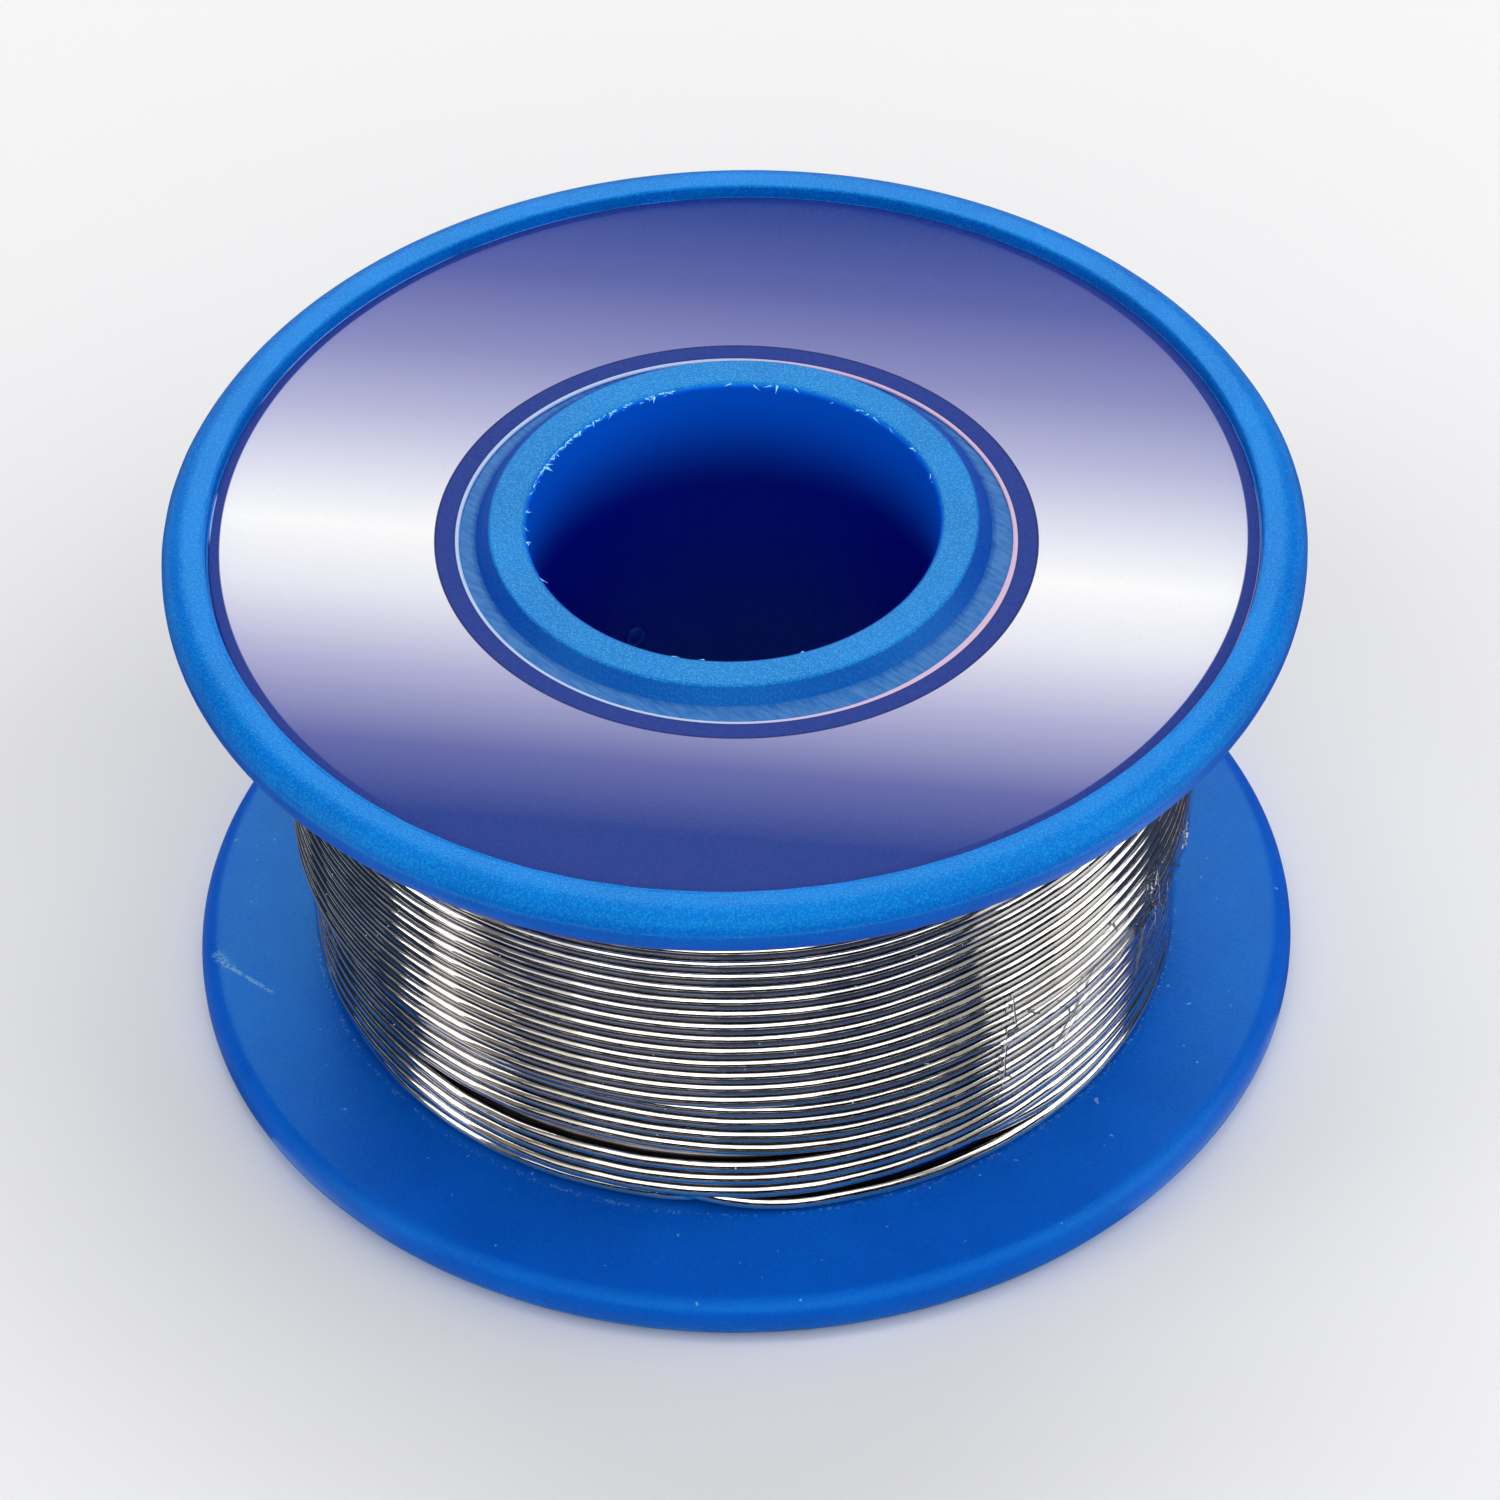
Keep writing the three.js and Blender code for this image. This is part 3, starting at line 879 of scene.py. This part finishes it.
def flange_wear(n, place, radius, grain):
    """Scuffs and dust on the lower flange, and specks near the wire's foot."""
    x, y, z = n.split(place)
    across = n.product(x, 1000.0)
    up = n.product(y, 1000.0)
    broken = n.ramp(grain, 0.4, 0.55)
    scuff = n.line(across, up, (-20.9, -2.1), (-18.4, -4.3), 0.12)
    head = n.line(across, up, (-20.9, -1.7), (-20.1, -2.9), 0.3)
    foot = n.product(n.band(radius, *WIRE_FOOT_BAND, 0.0001), n.ramp(grain, 0.56, 0.62))
    dust = n.ramp(n.noise(place, 2600.0, 1.0), 0.76, 0.8)
    marks = n.most(n.product(scuff, broken, 0.6), n.product(head, broken, 0.4),
                   n.product(foot, 0.3), n.product(dust, 0.55))
    return n.product(marks, n.band(z, *FLANGE_TOP_BAND, 0.0001))


def seam(n, radius, from_middle):
    """The parting lines round the rims, painted paler: a painted highlight along their ridges."""
    return n.product(n.band(from_middle, *SEAM_BAND, 0.00002), n.ramp(radius, *SEAM_RADII), 0.07)


def flash_material():
    n = Nodes("moulding_flash")
    # Painted glow: the flash is painted very pale and given a faint emission, standing in for glints
    # on the slivers.
    body = n.mix(n.noise(n.place(), 3000.0), (96, 196, 240), (220, 248, 255))
    return n.shade({"Base Color": body, "Emission Color": linear(110, 205, 245),
                    "Emission Strength": 0.45, "Roughness": 0.3, "Specular IOR Level": 0.8})


# The label's fade: millimetres from the axis along its direction, and the tone there.
LABEL_STOPS = (
    (-20.0, (25, 55, 140)),
    (-15.5, (26, 56, 140)),
    (-12.0, (98, 104, 168)),
    (-8.0, (176, 176, 213)),
    (-4.0, (233, 233, 244)),
    (-0.5, (254, 254, 254)),
    (2.0, (230, 231, 244)),
    (6.0, (184, 186, 219)),
    (10.0, (139, 141, 192)),
    (15.0, (86, 95, 165)),
    (19.7, (30, 60, 142)),
)
LABEL_FADE_SPAN = 40.0
LABEL_FADE_SHIFT = 1.0
LABEL_INK = (24, 54, 141)


def label_fade(n, x, y):
    """The printed fade across the label."""
    along = n.math("ADD", n.product(y, 0.986), n.product(x, 0.165))
    share = n.math("ADD", n.product(along, 1000 / LABEL_FADE_SPAN),
                   0.5 + LABEL_FADE_SHIFT / LABEL_FADE_SPAN)
    fade = n.add("ShaderNodeValToRGB", (share,))
    stops = fade.color_ramp.elements
    while len(stops) < len(LABEL_STOPS):
        stops.new(0.5)
    for stop, (station, colour) in zip(stops, LABEL_STOPS):
        stop.position = 0.5 + station / LABEL_FADE_SPAN
        stop.color = linear(*colour)
    return fade.outputs[0]


def label_material():
    """The fade, its dark edge, the dark ring round the hole and the pale cut paper."""
    n = Nodes("printed_label")
    place = n.place()
    x, y, _ = n.split(place)
    radius = n.radius(x, y)
    ring = printed_ring(n, x, y, radius)
    printed = n.mix(n.ramp(ring, 0.0112, 0.01115), label_fade(n, x, y), LABEL_INK)
    outline = n.most(n.band(ring, 0.01109, 0.0112, 0.00004),
                     n.product(n.band(ring, 0.01036, 0.01047, 0.00004), 0.7))
    printed = n.mix(outline, printed, (8, 30, 102))
    edge = n.radius(n.math("ADD", x, 0.00003), n.less(y, 0.00008))
    printed = n.mix(n.ramp(edge, 0.01922, 0.01928), printed, LABEL_INK)
    paper = n.mix(n.ramp(x, -0.004, 0.006), (186, 208, 244), (220, 190, 216))
    printed = n.mix(n.ramp(ring, 0.01041, 0.01038), printed, paper)
    patchy = n.ramp(n.noise(place, 260.0, 1.0), 0.42, 0.55)
    rim = n.radius(n.less(x, 0.00002), n.less(y, 0.00002))
    printed = n.mix(n.product(n.ramp(rim, 0.01964, 0.01967), patchy), printed, paper)
    grain = n.noise(place, 9000.0, 2.0, 0.6)
    mottles = n.product(n.ramp(grain, 0.35, 0.75), 0.05)
    n.bump(grain, 0.12, 0.00002)
    return n.shade({"Base Color": n.mix(mottles, printed, (150, 150, 190)),
                    "Roughness": n.scale(grain, 0.42, 0.54), "Specular IOR Level": 0.12})


def printed_ring(n, x, y, radius):
    """The radius for the printed ring, off centre like the hole."""
    across = n.math("DIVIDE", x, radius)
    ahead = n.math("DIVIDE", n.product(y, -1.0), radius)
    squares = n.less(n.product(ahead, ahead), n.product(across, across))
    terms = (ahead, across, squares, n.product(ahead, across, 2.0))
    for share, term in zip(HOLE_SHIFT, terms):
        radius = n.less(radius, n.product(term, share * MM))
    return radius


# The part of a turn's girth that is painted dark, a painted shade between the turns, in turns from
# its outermost line upwards.
GROOVE_SHADE_BAND = (0.19, 0.957)


def wire_material():
    n = Nodes("drawn_solder_wire")
    place = n.place()
    u, v, _ = n.split(n.add("ShaderNodeUVMap", uv_map="along_wire").outputs[0])
    drawn = n.combine(n.product(u, 30.0), n.product(v, 16.0))
    streaks = n.noise(drawn, 1.0, 4.0, 0.6)
    cloud = n.noise(place, 500.0, 3.0)
    body = n.mix(n.ramp(cloud, 0.3, 0.7), (212, 206, 199), (233, 228, 218))
    pits = n.ramp(n.noise(place, 7000.0, 2.0, 0.6), 0.74, 0.8)
    body = n.mix(n.product(pits, 0.5), body, (90, 86, 90))
    # Painted shade: each turn is painted dark over its top, its inner side and its underside.
    painted_groove_shade = n.band(v, *GROOVE_SHADE_BAND, 0.05)
    body = n.mix(n.product(painted_groove_shade, 0.9), body, (38, 34, 38))
    dust = n.ramp(n.noise(place, 3600.0, 1.0), 0.79, 0.82)
    body = n.mix(dust, body, (222, 220, 212))
    n.bump(streaks, 0.1, 0.00003)
    return n.shade({"Base Color": body, "Metallic": n.less(1.0, dust),
                    "Roughness": n.scale(streaks, 0.03, 0.1)})


def shaded_core_material():
    n = Nodes("inner_solder_wire")
    # Painted shade: the inner layers are painted darker than the outer wire, shade deep in the
    # winding.
    cloud = n.noise(n.place(), 700.0, 3.0)
    body = n.mix(n.ramp(cloud, 0.3, 0.7), (120, 112, 112), (160, 152, 150))
    n.bump(cloud, 0.2, 0.00003)
    return n.shade({"Base Color": body, "Metallic": 1.0, "Roughness": n.scale(cloud, 0.3, 0.5)})


def cut_end_material(name, colour):
    n = Nodes(name)
    grain = n.noise(n.place(), 12000.0, 2.0)
    n.bump(grain, 0.2, 0.00002)
    darker = tuple(level * 0.6 for level in colour)
    return n.shade({"Base Color": n.mix(grain, colour, darker), "Roughness": 0.55})


# Scratches in the film: two ends, each an azimuth and a height, and a width.
TAPE_SCRATCHES = (
    ((54.3, 9.2), (42.3, 5.8), 0.06),
    ((50.8, 9.1), (45.0, 6.8), 0.035),
    ((51.3, 11.2), (52.4, 10.5), 0.06),
    ((43.8, 8.4), (45.2, 7.6), 0.05),
    ((36.0, 9.9), (38.4, 9.3), 0.05),
    ((34.0, 11.2), (34.6, 9.4), 0.04),
    ((34.4, 8.3), (34.0, 6.2), 0.04),
    ((33.8, 6.6), (35.6, 5.9), 0.05),
    ((59.3, 8.9), (61.4, 8.2), 0.05),
    ((66.2, 9.6), (67.5, 6.4), 0.07),
    ((62.5, 11.2), (64.0, 8.6), 0.05),
    ((78.0, 9.4), (81.0, 6.2), 0.03),
    ((97.0, 6.6), (99.0, 9.2), 0.03),
)


def tape_material():
    """Clear film: a sheen on its outer face, whitened scratches with a painted shade line under each,
    and painted glints on the crumples.
    """
    n = Nodes("clear_tape_film")
    place = n.place()
    x, y, z = n.split(place)
    arc_scale = math.radians(TOP_RADIUS)
    across = n.product(n.math("ARCTAN2", x, n.product(y, -1.0)), TOP_RADIUS)
    up = n.product(z, 1000.0)
    fresnel = n.add("ShaderNodeFresnel", {"IOR": 1.5})
    outside = n.less(1.0, n.add("ShaderNodeNewGeometry").outputs["Backfacing"])
    fine = n.noise(place, 5200.0, 3.0, 0.7)
    broken = n.ramp(fine, 0.4, 0.56)
    whitening_and_glints = n.product(n.ramp(n.noise(place, 2600.0, 4.0, 0.7), 0.68, 0.78), 0.2)
    scratch_shade = 0.0
    for start, end, width in TAPE_SCRATCHES:
        ends = [(azimuth * arc_scale, height) for azimuth, height in (start, end)]
        mark = n.line(across, up, *ends, width)
        whitening_and_glints = n.most(whitening_and_glints, n.product(mark, n.scale(broken, 0.25, 0.9)))
        # Painted shade: a dark line just under each scratch.
        below = [(away + width, height - width) for away, height in ends]
        shade = n.line(across, up, *below, 1.5 * width)
        scratch_shade = n.most(scratch_shade, n.product(shade, n.scale(broken, 0.4, 0.95)))
    # Painted glints: white spots on the crumples.
    for centre, height, reach in TAPE_CRUMPLES:
        spot = n.spot(across, up, (centre * arc_scale, height), reach)
        whitening_and_glints = n.most(whitening_and_glints, n.product(spot, n.ramp(fine, 0.54, 0.62), 0.85))
    # The marks hold the whitening, the painted glints and the painted shade lines.
    marks = n.most(whitening_and_glints, scratch_shade)
    cover = n.math("ADD", n.product(fresnel.outputs[0], outside), n.product(marks, outside))
    tone = n.mix(n.ramp(scratch_shade, 0.1, 0.5), (245, 247, 246), (62, 60, 62))
    n.bump(n.noise(place, 1500.0, 3.0), 0.25, 0.00004)
    return n.shade({"Base Color": tone, "Alpha": n.math("MINIMUM", cover, 0.95),
                    "Metallic": n.less(1.0, n.ramp(marks, 0.1, 0.4)), "Roughness": 0.1})


def tape_edge_material():
    """The film's cut edge: flecks of light and of dust."""
    n = Nodes("clear_tape_edge")
    place = n.place()
    fine = n.ramp(n.noise(place, 3200.0, 2.0, 0.7), 0.44, 0.56)
    cover = n.ramp(n.noise(place, 2100.0, 2.0), 0.4, 0.6)
    return n.shade({"Base Color": n.mix(fine, (74, 70, 62), (244, 242, 232)),
                    "Alpha": n.scale(cover, 0.25, 0.95), "Roughness": 0.3})


# The studio.

SUBJECT = Vector((0.0, 0.0, 0.011))
AMBIENT = 0.1
WHITE = (1.0, 1.0, 1.0, 1.0)
SQUARE = ((-1, -1), (1, -1), (1, 1), (-1, 1))
NAVY_CARD = (12, 22, 40)
BLUE_CARD = (26, 44, 70)
SLATE_CARD = (84, 116, 148)
# Softboxes: azimuth and elevation, then distance, width and height in metres, and power in watts.
SOFTBOXES = (
    ("front_box", -22, 42, 0.5, 0.27, 0.32, 0.26),
    ("front_box", 0, 42, 0.5, 0.27, 0.32, 0.26),
    ("front_box", 24, 42, 0.5, 0.27, 0.32, 0.26),
    ("left_box", -73, 34, 0.42, 0.13, 0.54, 0.42),
    ("right_box", 79.5, 36, 0.42, 0.33, 0.5, 0.74),
    ("back_box", 180, 50, 0.5, 0.5, 0.4, 1.2),
    ("top_box", 0, 86, 0.5, 0.3, 0.2, 0.25),
)
# Cards: azimuth and elevation, then distance, width and height in metres, and tone.
CARDS = (
    ("front", 0, 8, 0.6, 1.9, 0.34, NAVY_CARD),
    ("front_right", 34, 27, 0.46, 0.28, 0.1, NAVY_CARD),
    ("left_gap", -60, 38, 0.4, 0.09, 0.66, (134, 130, 128)),
    ("right_gap", 51, 44, 0.4, 0.1, 0.4, (176, 176, 178)),
    ("right_low", 59, 11, 0.38, 0.17, 0.15, (34, 40, 54)),
    ("left_back", -117, 32, 0.5, 0.72, 0.76, BLUE_CARD),
    ("left_fade", -85, 33, 0.4, 0.045, 0.56, (118, 120, 128)),
    ("left_strip", -97, 15, 0.36, 0.15, 0.03, (184, 190, 200)),
    ("right_back", 131, 32, 0.5, 0.6, 0.76, (64, 74, 102)),
    ("left_horizon", -90, -3, 0.38, 0.7, 0.08, NAVY_CARD),
    ("right_horizon", 90, 0, 0.38, 0.7, 0.12, NAVY_CARD),
    ("back", 180, 6, 0.6, 1.0, 0.2, SLATE_CARD),
)
# Such cards on the floor: first and last azimuth, inner and outer radius in millimetres, and tone.
GROUND_CARDS = (
    ("front_left_near", -42, -6, 20.0, 34.0, (124, 122, 130)),
    ("front_right_near", -6, 43, 20.0, 34.0, (80, 82, 94)),
    ("front_far", -42, 44, 34.0, 170.0, (50, 56, 72)),
    ("left_white", -61, -48, 20.0, 31.0, (228, 226, 226)),
    ("left_front", -56, -42, 31.0, 400.0, (54, 58, 70)),
    ("left_middle", -66, -56, 31.0, 52.0, (44, 50, 64)),
    ("left_near", -73, -61, 20.0, 32.0, (46, 52, 66)),
    ("left_back", -112, -73, 20.0, 32.0, (112, 120, 136)),
    ("left_far", -112, -66, 32.0, 400.0, (42, 54, 72)),
    ("right_white", 43, 64, 20.0, 31.0, (228, 226, 224)),
    ("right_front", 44, 76, 55.0, 400.0, (48, 54, 68)),
    ("right_side", 76, 104, 20.0, 400.0, (54, 64, 90)),
    ("back", 104, 248, 22.0, 170.0, (62, 62, 84)),
)
GROUND_CARD_STEPS = 32
GROUND_CARD_HEIGHT = 0.02
FLOOR_REACH = 3000.0
FLOOR_DROP = 0.00002
# Where the floor starts to glow and where it has become the background, in metres from the axis.
FLOOR_GLOW = (0.025, 0.13)


def facing(azimuth, elevation, distance):
    """The matrix of something that looks at the subject along its own -Z."""
    a = math.radians(azimuth)
    e = math.radians(elevation)
    away = Vector((math.sin(a) * math.cos(e), -math.cos(a) * math.cos(e), math.sin(e)))
    turn = (-away).to_track_quat("-Z", "Y").to_matrix().to_4x4()
    return Matrix.Translation(SUBJECT + away * distance) @ turn


def softbox(name, azimuth, elevation, distance, width, height, power):
    light = bpy.data.lights.new(name, "AREA")
    light.shape = "RECTANGLE"
    light.size = width
    light.size_y = height
    light.energy = power
    made = link_new(name, light)
    made.matrix_world = facing(azimuth, elevation, distance)
    made.visible_camera = False


def flat_card(name, azimuth, elevation, distance, width, height, colour):
    """A flat card that faces the subject."""
    points = [(x * width / 2 / MM, y * height / 2 / MM, 0) for x, y in SQUARE]
    card = mesh_object(name + "_flag", points, [(0, 1, 2, 3)])
    card.matrix_world = facing(azimuth, elevation, distance)
    show_in_reflections(card, colour)


def ground_card(name, first, last, inner, outer, colour):
    """A part of a ring on the floor."""
    row = GROUND_CARD_STEPS + 1
    turns = np.radians(np.linspace(first, last, row))
    points = around(turns, np.array([[inner], [outer]]), GROUND_CARD_HEIGHT)
    faces = [(step, step + row, step + row + 1, step + 1) for step in range(GROUND_CARD_STEPS)]
    show_in_reflections(mesh_object(name + "_ground", points, faces), colour)


def show_in_reflections(card, colour):
    """Gives a card an even glow that only reflections see."""
    card.visible_camera = False
    card.visible_diffuse = False
    card.visible_shadow = False
    card.visible_transmission = False
    glow = {"Base Color": (0, 0, 0, 1), "Specular IOR Level": 0.0,
            "Emission Color": linear(*colour), "Emission Strength": 1.0}
    paint(card, [Nodes(card.name).shade(glow)])


def make_world():
    """White for the camera, reflections and the film, and dim as a light."""
    world = bpy.data.worlds.new("studio")
    bpy.context.scene.world = world
    n = Nodes("studio", world)
    path = n.add("ShaderNodeLightPath").outputs
    seen = n.most(path["Is Camera Ray"], path["Is Glossy Ray"], path["Is Transmission Ray"])
    n.shade({"Color": WHITE, "Strength": n.scale(seen, AMBIENT, 1.0)})


def make_floor():
    """A pale floor that shows the shadow and meets the background without an edge."""
    points = [(x * FLOOR_REACH, y * FLOOR_REACH, 0) for x, y in SQUARE]
    floor = mesh_object("floor", points, [(0, 1, 2, 3)])
    floor.location.z = -FLOOR_DROP
    n = Nodes("pale_floor")
    n.shade({"Base Color": (0.94, 0.94, 0.95, 1), "Roughness": 0.9, "Specular IOR Level": 0.0})
    x, y, _ = n.split(n.place())
    path = n.add("ShaderNodeLightPath").outputs
    seen = n.most(path["Is Camera Ray"], path["Is Glossy Ray"])
    far = n.product(n.ramp(n.radius(x, y), *FLOOR_GLOW), seen)
    glow = n.add("ShaderNodeEmission", {"Color": WHITE}).outputs[0]
    blend = n.add("ShaderNodeMixShader", (far, n.shader.outputs[0], glow)).outputs[0]
    n.feed(n.tree.nodes["Material Output"].inputs["Surface"], blend)
    paint(floor, [n.material])


def make_camera():
    turn = Matrix.Rotation(math.radians(-CAMERA_PAN), 4, "Z")
    turn @= Matrix.Rotation(math.radians(90 - CAMERA_TILT), 4, "X")
    turn @= Matrix.Rotation(math.radians(-CAMERA_ROLL), 4, "Z")
    data = bpy.data.cameras.new("camera")
    data.sensor_width = 36.0
    data.lens = CAMERA_LENS
    data.clip_start = 0.01
    data.clip_end = 10.0
    camera = link_new("camera", data)
    camera.matrix_world = Matrix.Translation(Vector(CAMERA_PLACE) * MM) @ turn
    bpy.context.scene.camera = camera


make_camera()
wire_looks = [wire_material(), cut_end_material("cut_solder", (96, 92, 96)),
              cut_end_material("flux_core", (60, 40, 26))]
pieces = [make_spool(), make_label(), make_lower_layer(wire_looks), make_top_layer(wire_looks),
          make_core(), make_tape()]
for piece in pieces:
    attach(piece, "root")
make_floor()
make_world()
for maker, table in ((softbox, SOFTBOXES), (flat_card, CARDS), (ground_card, GROUND_CARDS)):
    for settings in table:
        maker(*settings)
bpy.context.scene.view_settings.view_transform = "Standard"
